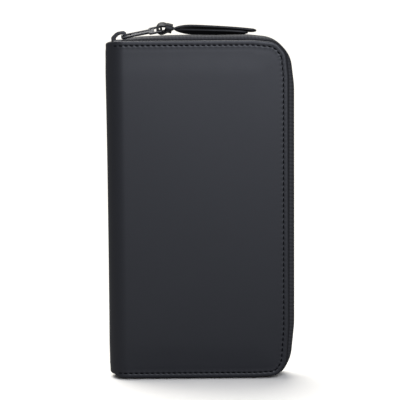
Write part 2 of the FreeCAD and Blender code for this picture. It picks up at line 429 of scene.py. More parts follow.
class Shader:
    """A small builder for one node material."""

    def __init__(self, name: str) -> None:
        """Starts a material with one Principled shader."""
        self.material = bpy.data.materials.new(name)
        self.material.use_nodes = True
        self.tree = self.material.node_tree
        self.surface = self.tree.nodes["Principled BSDF"]

    def node(self, kind: str, **settings: object) -> bpy.types.Node:
        """Adds a node; settings are its properties, or its input sockets by name."""
        made = self.tree.nodes.new(kind)
        for key, value in settings.items():
            if hasattr(made, key):
                setattr(made, key, value)
            else:
                made.inputs[key.replace("_", " ")].default_value = value
        return made

    def link(self, source: bpy.types.NodeSocket, target: bpy.types.NodeSocket) -> None:
        """Joins two sockets."""
        self.tree.links.new(source, target)

    def coordinates(self, use_uv: bool, scale: Sequence[float] = (1.0, 1.0, 1.0)) -> bpy.types.NodeSocket:
        """Returns the piece's own coordinates, scaled.

        Args:
            use_uv: Reads the UV map rather than Object coordinates.
            scale: The scale along each axis.

        Returns:
            The vector socket to read.
        """
        source = self.node("ShaderNodeTexCoord")
        mapping = self.node("ShaderNodeMapping", Scale=tuple(scale))
        self.link(source.outputs["UV" if use_uv else "Object"], mapping.inputs["Vector"])
        return mapping.outputs["Vector"]

    def noise(self, vector: bpy.types.NodeSocket, scale: float, detail: float = 2.0) -> bpy.types.NodeSocket:
        """Returns a noise pattern from 0 to 1."""
        made = self.node("ShaderNodeTexNoise", Scale=scale, Detail=detail)
        self.link(vector, made.inputs["Vector"])
        return made.outputs["Fac"]

    def wave(
        self, vector: bpy.types.NodeSocket, pitch: float, axis: str, distortion: float = 0.0
    ) -> bpy.types.NodeSocket:
        """Returns bands from 0 to 1 across one axis.

        Args:
            vector: The coordinates to read.
            pitch: The distance from band to band, in millimetres.
            axis: The axis that the bands follow one another along.
            distortion: How much the bands waver.

        Returns:
            The bands' value.
        """
        scale = math.pi / 20.0 / (pitch * MM)
        made = self.node("ShaderNodeTexWave", Scale=scale, Distortion=distortion, bands_direction=axis)
        made.wave_profile = "SIN"
        made.inputs["Detail"].default_value = 1.0
        made.inputs["Detail Scale"].default_value = 2.0
        self.link(vector, made.inputs["Vector"])
        return made.outputs["Fac"]

    def spread(self, value: bpy.types.NodeSocket, low: float, high: float) -> bpy.types.NodeSocket:
        """Maps a value from 0 to 1 onto another range."""
        made = self.node("ShaderNodeMapRange")
        made.inputs["To Min"].default_value = low
        made.inputs["To Max"].default_value = high
        self.link(value, made.inputs["Value"])
        return made.outputs["Result"]

    def mix_colour(
        self, amount: bpy.types.NodeSocket, first: Sequence[float], second: Sequence[float]
    ) -> bpy.types.NodeSocket:
        """Mixes two colours.

        Args:
            amount: The share of the second colour.
            first: The colour at 0.
            second: The colour at 1.

        Returns:
            The colour between them.
        """
        ramp = self.node("ShaderNodeValToRGB")
        ramp.color_ramp.elements[0].color = (*first, 1.0)
        ramp.color_ramp.elements[1].color = (*second, 1.0)
        self.link(amount, ramp.inputs["Fac"])
        return ramp.outputs["Color"]

    def math(self, operation: str, *values: object) -> bpy.types.NodeSocket:
        """Returns a sum, product or other result of sockets and numbers."""
        made = self.node("ShaderNodeMath", operation=operation)
        for socket, value in zip(made.inputs, values):
            if isinstance(value, bpy.types.NodeSocket):
                self.link(value, socket)
            else:
                socket.default_value = value
        return made.outputs["Value"]

    def attribute(self, name: str) -> bpy.types.NodeSocket:
        """Returns a number stored on the piece's points."""
        return self.node("ShaderNodeAttribute", attribute_name=name).outputs["Fac"]

    def bump(self, height: bpy.types.NodeSocket, depth: float, strength: float = 1.0) -> None:
        """Adds fine relief; depth is in millimetres."""
        made = self.node("ShaderNodeBump", Strength=strength, Distance=depth * MM)
        self.link(height, made.inputs["Height"])
        before = self.surface.inputs["Normal"]
        if before.is_linked:
            self.link(before.links[0].from_socket, made.inputs["Normal"])
        self.link(made.outputs["Normal"], before)

    def set(self, **values: object) -> None:
        """Sets plain values on the shader's own sockets."""
        for key, value in values.items():
            self.surface.inputs[key.replace("_", " ")].default_value = value


@dataclass(frozen=True)
class CoatedLeather:
    """Matte polyurethane-coated leather with a barely visible grain, lighter along its turned edge from wear
    and a painted highlight.
    """

    name: str = "coated_leather"
    colour: tuple[float, float, float] = (0.0125, 0.0130, 0.0160)
    # colour of the turned edge: partly edge wear, partly a painted highlight along the rolled edge
    worn_edge_and_highlight: tuple[float, float, float] = (0.022, 0.0225, 0.026)
    roughness: tuple[float, float] = (0.43, 0.50)
    grain: float = 0.010

    def build(self) -> bpy.types.Material:
        """Returns the material."""
        shader = Shader(self.name)
        place = shader.coordinates(use_uv=False)
        cloud = shader.noise(place, 28.0, 3.0)
        # the edge mask lightens the colour and smooths the finish at the turned edge: partly wear, partly a
        # painted highlight
        edge = shader.attribute("edge")
        tone = shader.math("ADD", shader.spread(cloud, 0.0, 0.16), shader.math("MULTIPLY", edge, 0.45))
        shader.link(shader.mix_colour(tone, self.colour, self.worn_edge_and_highlight), shader.surface.inputs["Base Color"])
        rough = shader.spread(shader.noise(place, 140.0, 4.0), *self.roughness)
        rough = shader.math("SUBTRACT", rough, shader.math("MULTIPLY", edge, 0.06))
        shader.link(rough, shader.surface.inputs["Roughness"])
        cells = shader.node("ShaderNodeTexVoronoi", Scale=1500.0)
        shader.link(place, cells.inputs["Vector"])
        shader.bump(cells.outputs["Distance"], self.grain)
        shader.bump(shader.noise(place, 420.0, 3.0), 0.03, 0.5)
        shader.set(Specular_IOR_Level=0.42)
        return shader.material


@dataclass(frozen=True)
class StrapLeather:
    """Thin strap leather with dark painted edges."""

    name: str = "strap_leather"
    colour: tuple[float, float, float] = (0.0045, 0.0045, 0.0050)
    light: tuple[float, float, float] = (0.011, 0.011, 0.0115)

    def build(self) -> bpy.types.Material:
        """Returns the material."""
        shader = Shader(self.name)
        place = shader.coordinates(use_uv=False)
        shader.link(
            shader.mix_colour(shader.noise(place, 300.0, 4.0), self.colour, self.light),
            shader.surface.inputs["Base Color"],
        )
        shader.link(shader.spread(shader.noise(place, 600.0), 0.42, 0.56), shader.surface.inputs["Roughness"])
        shader.bump(shader.noise(place, 2200.0, 3.0), 0.03, 0.7)
        shader.set(Specular_IOR_Level=0.28)
        return shader.material


@dataclass(frozen=True)
class WovenTape:
    """Ribbed zip tape with painted shade where it tucks under the cover; its UV map runs along and across it,
    in metres.
    """

    name: str = "woven_tape"
    colour: tuple[float, float, float] = (0.013, 0.013, 0.0145)
    raised: tuple[float, float, float] = (0.034, 0.034, 0.038)
    rib_pitch: float = 1.15
    thread_pitch: float = 0.36

    def build(self) -> bpy.types.Material:
        """Returns the material."""
        shader = Shader(self.name)
        place = shader.coordinates(use_uv=True)
        ribs = shader.wave(place, self.rib_pitch, "X")
        threads = shader.wave(place, self.thread_pitch, "Y")
        weave = shader.math("MULTIPLY", ribs, shader.spread(threads, 0.55, 1.0))
        tone = shader.math("MULTIPLY", weave, shader.spread(shader.noise(place, 90.0, 3.0), 0.6, 1.0))
        # painted shade: the tape is darkened, and its reflection cut, where it runs into the groove under the
        # cover's edge
        tone = shader.math("MULTIPLY", tone, shader.spread(shader.attribute("painted_groove_shade"), 1.0, 0.1))
        painted_shade_specular = shader.spread(shader.attribute("painted_groove_shade"), 0.38, 0.04)
        shader.link(painted_shade_specular, shader.surface.inputs["Specular IOR Level"])
        shader.link(shader.mix_colour(tone, self.colour, self.raised), shader.surface.inputs["Base Color"])
        shader.bump(weave, 0.09, 0.8)
        shader.bump(shader.noise(place, 4000.0, 2.0), 0.03, 0.5)
        shader.set(Roughness=0.62, Sheen_Weight=0.08, Sheen_Roughness=0.4)
        return shader.material


@dataclass(frozen=True)
class BlackMetal:
    """Black electroplated zinc, a little brighter and smoother where it is rubbed."""

    name: str = "black_metal"
    colour: tuple[float, float, float] = (0.030, 0.030, 0.032)
    rubbed: tuple[float, float, float] = (0.24, 0.235, 0.23)

    def build(self) -> bpy.types.Material:
        """Returns the material."""
        shader = Shader(self.name)
        place = shader.coordinates(use_uv=False)
        sharp = shader.node("ShaderNodeNewGeometry").outputs["Pointiness"]
        edge = shader.node("ShaderNodeMapRange")
        edge.inputs["From Min"].default_value = 0.52
        edge.inputs["From Max"].default_value = 0.62
        shader.link(sharp, edge.inputs["Value"])
        wear = shader.math("MULTIPLY", edge.outputs["Result"], shader.noise(place, 900.0, 4.0))
        shader.link(shader.mix_colour(wear, self.colour, self.rubbed), shader.surface.inputs["Base Color"])
        rough = shader.spread(shader.noise(place, 1300.0, 3.0), 0.22, 0.36)
        shader.link(rough, shader.surface.inputs["Roughness"])
        shader.bump(shader.noise(place, 2600.0, 2.0), 0.01, 0.5)
        shader.set(Metallic=0.65)
        return shader.material


@dataclass(frozen=True)
class Thread:
    """Bonded sewing thread."""

    name: str = "sewing_thread"
    colour: tuple[float, float, float] = (0.0008, 0.0008, 0.0014)
    light: tuple[float, float, float] = (0.003, 0.003, 0.004)
    twist: float = 4200.0

    def build(self) -> bpy.types.Material:
        """Returns the material."""
        shader = Shader(self.name)
        place = shader.coordinates(use_uv=False, scale=(1.0, 0.4, 1.0))
        twist = shader.noise(place, self.twist, 1.0)
        shader.link(shader.mix_colour(twist, self.colour, self.light), shader.surface.inputs["Base Color"])
        shader.bump(twist, 0.05, 0.6)
        shader.set(Roughness=0.85, Specular_IOR_Level=0.05)
        return shader.material


@dataclass(frozen=True)
class Nylon:
    """Satin black nylon of the coil."""

    name: str = "coil_nylon"
    colour: tuple[float, float, float] = (0.010, 0.010, 0.011)
    light: tuple[float, float, float] = (0.020, 0.020, 0.022)

    def build(self) -> bpy.types.Material:
        """Returns the material."""
        shader = Shader(self.name)
        place = shader.coordinates(use_uv=False)
        cloud = shader.noise(place, 500.0, 2.0)
        shader.link(shader.mix_colour(cloud, self.colour, self.light), shader.surface.inputs["Base Color"])
        shader.link(shader.spread(cloud, 0.3, 0.42), shader.surface.inputs["Roughness"])
        return shader.material


@dataclass(frozen=True)
class LiningCloth:
    """Plain-woven lining; the pattern is on Object coordinates."""

    name: str = "lining_cloth"
    colour: tuple[float, float, float] = (0.014, 0.0145, 0.017)
    light: tuple[float, float, float] = (0.030, 0.031, 0.035)
    thread_pitch: float = 0.5

    def build(self) -> bpy.types.Material:
        """Returns the material."""
        shader = Shader(self.name)
        place = shader.coordinates(use_uv=False)
        warp = shader.wave(place, self.thread_pitch, "X", 0.6)
        weft = shader.wave(place, self.thread_pitch, "Z", 0.6)
        weave = shader.math("MULTIPLY", warp, weft)
        shader.link(shader.mix_colour(weave, self.colour, self.light), shader.surface.inputs["Base Color"])
        shader.bump(weave, 0.05, 0.7)
        shader.set(Roughness=0.78, Sheen_Weight=0.2, Sheen_Roughness=0.5)
        return shader.material


@dataclass(frozen=True)
class PocketLeather:
    """Fine-grained leather of the pockets and card slots."""

    name: str = "pocket_leather"
    colour: tuple[float, float, float] = (0.016, 0.016, 0.018)
    light: tuple[float, float, float] = (0.034, 0.034, 0.037)
    grain_scale: float = 900.0

    def build(self) -> bpy.types.Material:
        """Returns the material."""
        shader = Shader(self.name)
        place = shader.coordinates(use_uv=False)
        cells = shader.node("ShaderNodeTexVoronoi", Scale=self.grain_scale, feature="DISTANCE_TO_EDGE")
        shader.link(place, cells.inputs["Vector"])
        crease = shader.spread(cells.outputs["Distance"], 0.0, 4.0)
        tone = shader.math("MULTIPLY", crease, shader.noise(place, 60.0, 3.0))
        shader.link(shader.mix_colour(tone, self.colour, self.light), shader.surface.inputs["Base Color"])
        rough = shader.spread(shader.noise(place, 200.0, 3.0), 0.45, 0.6)
        shader.link(rough, shader.surface.inputs["Roughness"])
        shader.bump(crease, 0.05, 0.8)
        return shader.material


@dataclass(frozen=True)
class SheetCore:
    """Speckled foam or board, seen only at cut edges."""

    name: str
    colour: tuple[float, float, float]
    light: tuple[float, float, float]

    def build(self) -> bpy.types.Material:
        """Returns the material."""
        shader = Shader(self.name)
        place = shader.coordinates(use_uv=False)
        speckle = shader.noise(place, 1600.0, 3.0)
        shader.link(shader.mix_colour(speckle, self.colour, self.light), shader.surface.inputs["Base Color"])
        shader.bump(speckle, 0.1, 0.8)
        shader.set(Roughness=0.9)
        return shader.material


@dataclass(frozen=True)
class Finishes:
    """Every finish of the organizer, built once."""

    cover: bpy.types.Material
    strap: bpy.types.Material
    tape: bpy.types.Material
    metal: bpy.types.Material
    thread: bpy.types.Material
    nylon: bpy.types.Material
    lining: bpy.types.Material
    pocket: bpy.types.Material
    foam: bpy.types.Material
    board: bpy.types.Material

    @classmethod
    def make(cls) -> "Finishes":
        """Builds all the materials."""
        return cls(
            cover=CoatedLeather().build(),
            strap=StrapLeather().build(),
            tape=WovenTape().build(),
            metal=BlackMetal().build(),
            thread=Thread().build(),
            nylon=Nylon().build(),
            lining=LiningCloth().build(),
            pocket=PocketLeather().build(),
            foam=SheetCore("foam_sheet", (0.03, 0.03, 0.032), (0.07, 0.07, 0.072)).build(),
            board=SheetCore("stiffener_board", (0.05, 0.045, 0.04), (0.12, 0.11, 0.10)).build(),
        )


# ---------------------------------------------------------------- repeated pieces by Geometry Nodes


class RowTree:
    """Geometry Nodes that repeat a small rounded piece along a line."""

    def __init__(self, name: str, material: bpy.types.Material, keep_upright: bool) -> None:
        """Builds the node tree.

        Args:
            name: The tree's name.
            material: The finish of the repeated piece.
            keep_upright: Turns each piece about the Y axis only.
        """
        self.tree = bpy.data.node_groups.new(name, "GeometryNodeTree")
        self.material = material
        face = self.tree.interface
        face.new_socket("Geometry", in_out="INPUT", socket_type="NodeSocketGeometry")
        self.inputs = {
            key: face.new_socket(key, in_out="INPUT", socket_type="NodeSocketFloat").identifier
            for key in ("Pitch", "Length", "Width", "Height", "Jitter")
        }
        face.new_socket("Geometry", in_out="OUTPUT", socket_type="NodeSocketGeometry")
        self._wire(keep_upright)

    def _add(self, kind: str, **settings: object) -> bpy.types.Node:
        """Adds a node and sets its properties."""
        made = self.tree.nodes.new(kind)
        for key, value in settings.items():
            setattr(made, key, value)
        return made

    def _wire(self, keep_upright: bool) -> None:
        """Joins the nodes: line, points, instances, real geometry, material.

        Args:
            keep_upright: Turns each piece about the Y axis only.
        """
        link = self.tree.links.new
        given = self._add("NodeGroupInput")
        result = self._add("NodeGroupOutput")
        line = self._add("GeometryNodeMeshToCurve")
        spaced = self._add("GeometryNodeResampleCurve", mode="LENGTH")
        tangent = self._add("GeometryNodeInputTangent")
        turn = self._add("FunctionNodeAlignRotationToVector", axis="X")
        if keep_upright:
            turn.pivot_axis = "Y"
        seed = self._add("FunctionNodeRandomValue", data_type="FLOAT_VECTOR")
        seed.inputs["Seed"].default_value = 7
        low = self._add("ShaderNodeVectorMath", operation="SCALE")
        low.inputs[0].default_value = (-1.0, -1.0, -1.0)
        high = self._add("ShaderNodeVectorMath", operation="SCALE")
        high.inputs[0].default_value = (1.0, 1.0, 1.0)
        wobble = self._add("FunctionNodeEulerToRotation")
        combined = self._add("FunctionNodeRotateRotation", rotation_space="LOCAL")
        bead = self._add("GeometryNodeMeshUVSphere")
        bead.inputs["Segments"].default_value = 8
        bead.inputs["Rings"].default_value = 6
        bead.inputs["Radius"].default_value = 0.5
        size = self._add("ShaderNodeCombineXYZ")
        sized = self._add("GeometryNodeTransform")
        instances = self._add("GeometryNodeInstanceOnPoints")
        real = self._add("GeometryNodeRealizeInstances")
        smooth = self._add("GeometryNodeSetShadeSmooth")
        dressed = self._add("GeometryNodeSetMaterial")
        dressed.inputs["Material"].default_value = self.material
        link(given.outputs["Geometry"], line.inputs["Mesh"])
        link(line.outputs["Curve"], spaced.inputs["Curve"])
        link(given.outputs["Pitch"], spaced.inputs["Length"])
        link(tangent.outputs["Tangent"], turn.inputs["Vector"])
        link(given.outputs["Jitter"], low.inputs["Scale"])
        link(given.outputs["Jitter"], high.inputs["Scale"])
        link(low.outputs[0], seed.inputs[0])
        link(high.outputs[0], seed.inputs[1])
        link(seed.outputs[0], wobble.inputs[0])
        link(turn.outputs["Rotation"], combined.inputs["Rotation"])
        link(wobble.outputs["Rotation"], combined.inputs["Rotate By"])
        link(given.outputs["Length"], size.inputs["X"])
        link(given.outputs["Width"], size.inputs["Y"])
        link(given.outputs["Height"], size.inputs["Z"])
        link(bead.outputs["Mesh"], sized.inputs["Geometry"])
        link(size.outputs["Vector"], sized.inputs["Scale"])
        link(spaced.outputs["Curve"], instances.inputs["Points"])
        link(sized.outputs["Geometry"], instances.inputs["Instance"])
        link(combined.outputs["Rotation"], instances.inputs["Rotation"])
        link(instances.outputs["Instances"], real.inputs["Geometry"])
        link(real.outputs["Geometry"], smooth.inputs["Geometry"])
        link(smooth.outputs["Geometry"], dressed.inputs["Geometry"])
        link(dressed.outputs["Geometry"], result.inputs["Geometry"])

    def row(self, name: str, lines: Sequence[Points], **sizes: float) -> bpy.types.Object:
        """Makes one row of pieces along each line.

        Args:
            name: The piece's name.
            lines: Lines of points, in millimetres.
            sizes: Pitch, Length, Width and Height in millimetres, and Jitter in radians.

        Returns:
            The rows as one plain mesh.
        """
        points: list[Sequence[float]] = []
        edges: list[tuple[int, int]] = []
        for line in lines:
            start = len(points)
            points.extend((np.asarray(line) * MM).tolist())
            edges.extend((start + i, start + i + 1) for i in range(len(line) - 1))
        mesh = bpy.data.meshes.new(name)
        mesh.from_pydata(points, edges, [])
        obj = new_object(name, mesh)
        modifier = obj.modifiers.new("row", "NODES")
        modifier.node_group = self.tree
        for key, identifier in self.inputs.items():
            value = sizes.get(key, 0.0)
            modifier[identifier] = value if key == "Jitter" else value * MM
        return baked(obj)


# ---------------------------------------------------------------- leather, padding and lining


@dataclass(frozen=True)
class Wrap:
    """Maps a flat sheet onto one half's face and its half of the spine."""

    side: Side
    flare: float = 0.0

    def place(self, along: Points, z: Points, radius: Points) -> Points:
        """Returns points of the sheet in space.

        Args:
            along: Distance across the sheet from where the spine begins to round; negative on the spine.
            z: Height.
            radius: Distance from the middle plane, or from the spine's axis on the spine.

        Returns:
            The points, in millimetres.
        """
        angle = np.clip(-along, 0.0, None) / SHAPE.half_depth
        ends = np.abs(np.asarray(z) / (SHAPE.height / 2) - 1.0)
        flare = self.flare * (0.3 + 0.7 * ends**2)
        x = SHAPE.spine_x + np.clip(along, 0.0, None) - (radius + flare) * np.sin(angle)
        y = self.side.value * radius * np.cos(angle)
        return np.stack([x, y, np.broadcast_to(z, x.shape)], axis=-1)

    def bend(self, obj: bpy.types.Object, radius: float) -> None:
        """Bakes a piece's place into its points; it is not bent to the half's fold line.

        Args:
            obj: The piece.
            radius: Its distance from the middle plane, in millimetres; not used.
        """
        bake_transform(obj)


def cover_corners(inset: float = 0.0) -> list[Corner]:
    """Returns the cover's free edge, unrolled, from the middle of the spine and back to it.

    Args:
        inset: How far the edge is drawn in.

    Returns:
        The corners, clockwise.
    """
    right = SHAPE.cover_right - SHAPE.spine_x - inset
    top, bottom = SHAPE.cover_top - inset, SHAPE.cover_bottom + inset
    spine_top, spine_bottom = SHAPE.spine_top - inset, SHAPE.spine_bottom + inset
    return [
        Corner(-HALF_TURN, spine_top - 0.7),
        Corner(-10.8, spine_top + 0.2, 7.0),
        Corner(-6.0, top, 6.0),
        Corner(right - 22.3, top, 50.0),
        Corner(right - 7.5, top - 1.6, 10.0),
        Corner(right - 1.4, top - 9.1, 10.0),
        Corner(right, top - 23.5, 50.0),
        Corner(right, bottom + 32.5, 50.0),
        Corner(right - 1.6, bottom + 9.5, 12.0),
        Corner(right - 6.4, bottom + 0.8, 10.0),
        Corner(right - 22.3, bottom, 50.0),
        Corner(-6.0, bottom, 6.0),
        Corner(-10.8, spine_bottom - 0.1, 7.0),
        Corner(-HALF_TURN, spine_bottom + 0.5),
    ]


@dataclass(frozen=True)
class StitchRow:
    """Where the cover's stitches run, and how the leather puckers under them."""

    inset: float = 3.1
    pitch: float = 3.5
    length: float = 2.9
    width: float = 1.5
    start: float = 12.8
    groove: float = 0.3
    groove_half: float = 0.6

    def dip(self, distance: float, along: Points, total: float) -> Points:
        """Returns how deep the leather is pulled in.

        Args:
            distance: Distance in from the edge.
            along: Distance along the edge.
            total: The edge's whole length.

        Returns:
            The depth at each point.
        """
        across = math.exp(-(((distance - self.inset) / self.groove_half) ** 2))
        wide = math.exp(-(((distance - self.inset) / (self.groove_half * 2.4)) ** 2))
        pull = np.cos(2 * math.pi * (along - self.start) / self.pitch)
        begun = smoothstep(along, self.start - 2.5, self.start)
        sewn = begun * smoothstep(total - along, self.start - 2.5, self.start)
        return self.groove * sewn * (across * (0.7 + 0.3 * pull) + wide * 0.22 * (0.6 + 0.4 * pull))


@dataclass
class CoverShell:
    """One cover with its half of the spine: a padded leather shell with a turned, stitched edge."""

    side: Side
    finishes: Finishes
    wall: float = 0.7
    step: float = 0.5
    crown: float = 0.55
    grid: float = 3.0
    flare: float = 0.75
    stitches: StitchRow = StitchRow()

    def edge_rows(self) -> list[tuple[float, float]]:
        """Returns the rolled edge's section: (distance in from the edge, distance from the middle)."""
        top = SHAPE.half_depth - self.crown
        low = SHAPE.leg_y
        return [
            (1.4, low + 0.02),
            (0.35, low + 0.04),
            (0.08, low + 0.18),
            (0.0, low + 0.5),
            (0.0, top - 0.95),
            (0.07, top - 0.55),
            (0.26, top - 0.24),
            (0.55, top - 0.07),
            (0.95, top),
            (1.4, top + 0.03),
            (1.9, top + 0.02),
            (2.2, top),
            (2.5, top),
            (2.7, top + 0.01),
            (2.8, top + 0.01),
            (2.95, top + 0.02),
            (3.2, top + 0.04),
            (3.75, top + 0.08),
            (4.3, top + 0.13),
            (5.2, top + 0.2),
            (6.5, top + 0.28),
        ]

    def radius_at(self, distance: Points, along: Points, z: Points) -> Points:
        """Returns the padded face's distance from the middle plane.

        Args:
            distance: Distance in from the cover's edge.
            along: Distance across the unrolled cover.
            z: Height.

        Returns:
            The distance from the middle plane at each point.
        """
        top = SHAPE.half_depth - self.crown
        rise = 0.28 + (self.crown - 0.28) * smoothstep(distance, 6.5, 22.0)
        swell = 0.05 * np.sin(z * 0.043 + 0.8) * np.sin(along * 0.061 + 0.4)
        return top + rise + swell * smoothstep(distance, 8.0, 30.0)

    def build(self) -> bpy.types.Object:
        """Makes the shell and dresses it."""
        path = Path(cover_corners(), self.step)
        wrap = Wrap(self.side, self.flare)
        rows, edge = [], []
        total = float(path.along[-1])
        for distance, radius in self.edge_rows():
            flat = path.offset(distance)
            near_edge = 1.0 - smoothstep(np.float64(distance), 3.3, 5.2)
            raised = 0.34 * smoothstep(flat[:, 0], -7.9, -7.2) * near_edge
            depth = np.full(len(flat), radius) + raised * (radius > SHAPE.leg_y + 1.0)
            depth = depth - self.stitches.dip(distance, path.along, total) * (radius > SHAPE.leg_y + 1.2)
            rows.append(wrap.place(flat[:, 0], flat[:, 1], depth))
            # edge mask, 1 at the turned edge and 0 by 1.2 mm in; the leather finish lightens there, partly as
            # wear, partly as a painted highlight
            edge.append(np.full(len(flat), max(0.0, 1.0 - distance / 1.2)))
        last = self.edge_rows()[-1][0]
        loop = path.offset(last)
        inner, faces = self._fill(loop, path)
        distance = self._distance(inner, path)
        face_points = wrap.place(inner[:, 0], inner[:, 1], self.radius_at(distance, inner[:, 0], inner[:, 1]))
        strip = np.concatenate(rows)
        columns = len(path.points)
        quads = grid_faces(len(rows), columns)
        base = (len(rows) - 1) * columns
        renumber = [base + i for i in range(columns)] + [len(strip) + i for i in range(len(inner) - columns)]
        quads = [tuple(reversed(face)) for face in quads]
        triangles = [tuple(renumber[i] for i in face) for face in faces]
        points = np.concatenate([strip, face_points[columns:]])
        mesh = mesh_from(f"{self.side.prefix}_shell", points, quads + triangles, flip=self.side is Side.BACK)
        values = np.concatenate(edge + [np.zeros(len(inner) - columns)])
        mesh.attributes.new("edge", "FLOAT", "POINT").data.foreach_set("value", values.astype(np.float32))
        obj = new_object(f"{self.side.prefix}_shell", mesh, self.finishes.cover)
        thickened(obj, self.wall)
        wrap.bend(obj, SHAPE.half_depth)
        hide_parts(f"{self.side.prefix}_cover", "spine_cover")
        return obj

    def _fill(self, loop: Points, path: Path) -> tuple[Points, list[Sequence[int]]]:
        """Fills the face inside the edge strip.

        Args:
            loop: The strip's inner line.
            path: The cover's edge.

        Returns:
            The fill's points, which begin with the loop, and its triangles.
        """
        left_z = np.arange(loop[-1, 1] + self.grid, loop[0, 1] - self.grid / 2, self.grid)
        left = np.stack([np.full(len(left_z), -HALF_TURN), left_z], axis=1)
        border = np.concatenate([loop, left])
        columns = np.concatenate([
            np.arange(-HALF_TURN + 0.75, -0.1, 0.75),
            np.arange(0.0, loop[:, 0].max(), self.grid),
        ])
        levels = np.arange(loop[:, 1].min(), loop[:, 1].max(), self.grid)
        grid = np.array([(x, z) for x in columns for z in levels])
        keep = self._distance(grid, path) > self.edge_rows()[-1][0] + 1.0
        inside = (grid[:, 1] < loop[:, 1].max() - 0.9) & (grid[:, 1] > loop[:, 1].min() + 0.9)
        grid = grid[keep & inside]
        points = [Vector(p) for p in np.concatenate([border, grid]).tolist()]
        ring = list(range(len(border)))
        found = geometry.delaunay_2d_cdt(points, [], [ring], 1, 1e-5)
        return np.array([tuple(p) for p in found[0]]), [tuple(face) for face in found[2]]

    @staticmethod
    def _distance(points: Points, path: Path) -> Points:
        """Returns each point's distance from the cover's edge."""
        every = path.points[::2]
        return np.array([np.sqrt(((every - p) ** 2).sum(axis=1).min()) for p in points])

    def sew(self, tree: RowTree) -> bpy.types.Object:
        """Makes the row of stitches in the cover's groove.

        Args:
            tree: The tree that repeats stitches.

        Returns:
            The stitches as one piece.
        """
        path = Path(cover_corners(), 0.25)
        row = self.stitches
        total = float(path.along[-1])
        used = (path.along > row.start - row.pitch / 8) & (path.along < total - row.start)
        flat = path.offset(row.inset)[used]
        depth = SHAPE.half_depth - self.crown - row.groove * 0.70 + 0.2
        line = Wrap(self.side).place(flat[:, 0], flat[:, 1], np.full(len(flat), depth))
        obj = tree.row(
            f"{self.side.prefix}_stitching",
            [line],
            Pitch=row.pitch,
            Length=row.length,
            Width=row.width,
            Height=row.width * 0.55,
            Jitter=0.035,
        )
        Wrap(self.side).bend(obj, SHAPE.half_depth)
        return obj


@dataclass
class LayerSheet:
    """A plain layer of one half, which bends round the spine: padding or lining."""

    side: Side
    material: bpy.types.Material
    name: str
    outer: float
    thickness: float
    inset: float
    spine_inset: float
    nodes: tuple[str, ...]
    slot: str
    fill: float | None = None
    step: float = 2.5

    def build(self) -> bpy.types.Object:
        """Makes the sheet and dresses it."""
        path = Path(cover_corners(self.inset), self.step)
        wrap = Wrap(self.side)
        on_face = np.linspace(0.0, path.points[:, 0].max() - 0.02, 40)
        across = np.concatenate([np.linspace(-HALF_TURN, -1.5, 14), on_face])
        half = np.argmax(path.points[:, 0])
        upper = path.points[: half + 1]
        lower = path.points[half:][::-1]
        top = np.interp(across, upper[:, 0], upper[:, 1])
        bottom = np.interp(across, lower[:, 0], lower[:, 1])
        on_spine = 1.0 - smoothstep(across, -8.0, -1.0)
        top = top - on_spine * self.spine_inset
        bottom = bottom + on_spine * self.spine_inset
        levels = np.linspace(0.0, 1.0, 49)
        grid = []
        for share in levels:
            z = bottom + (top - bottom) * share
            grid.append(wrap.place(across, z, np.full(len(across), self.outer)))
        faces = grid_faces(len(levels), len(across))
        mesh = mesh_from(self.name, np.concatenate(grid), faces, flip=self.side is Side.BACK)
        obj = thickened(new_object(self.name, mesh, self.material), self.thickness)
        wrap.bend(obj, self.outer - self.thickness / 2)
        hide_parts(*self.nodes)
        return obj


# ---------------------------------------------------------------- zip


def band_corners(dip: float = 0.0) -> list[Corner]:
    """Returns the zip band's outer line, from the closed end round to the far end.

    Args:
        dip: How far the first stretch, near the slider, rises above the slider's straight track.

    Returns:
        The corners, clockwise.
    """
    height, right = SHAPE.height + 0.6 * dip, SHAPE.band_right
    rise = math.tan(math.radians(TRACK_ANGLE))
    start = SHAPE.tape_left
    return [
        Corner(start, height - (LEVEL_X - start) * rise - 0.2 * dip),
        Corner(-46.0, height - (LEVEL_X + 46.0) * rise + 1.3 * dip, 8.0),
        Corner(-38.0, height - (LEVEL_X + 38.0) * rise + 1.75 * dip, 25.0),
        Corner(-19.0, height - (LEVEL_X + 19.0) * rise * (1.0 - min(dip, 1.0)), 30.0),
        Corner(LEVEL_X, height, 30.0),
        Corner(31.0, height, 60.0),
        Corner(right - 12.5, height - 1.9, 20.0),
        Corner(right - 2.3, height - 12.8, 20.0),
        Corner(right, height - 32.0, 60.0),
        Corner(right, 36.0, 60.0),
        Corner(right - 2.2, 14.0, 25.0),
        Corner(right - 8.4, 1.8, 12.0),
        Corner(32.0, 0.0, 60.0),
        Corner(-34.0, 0.0, 60.0),
        Corner(-50.0, 1.4, 10.0),
        Corner(start, 1.75),
    ]


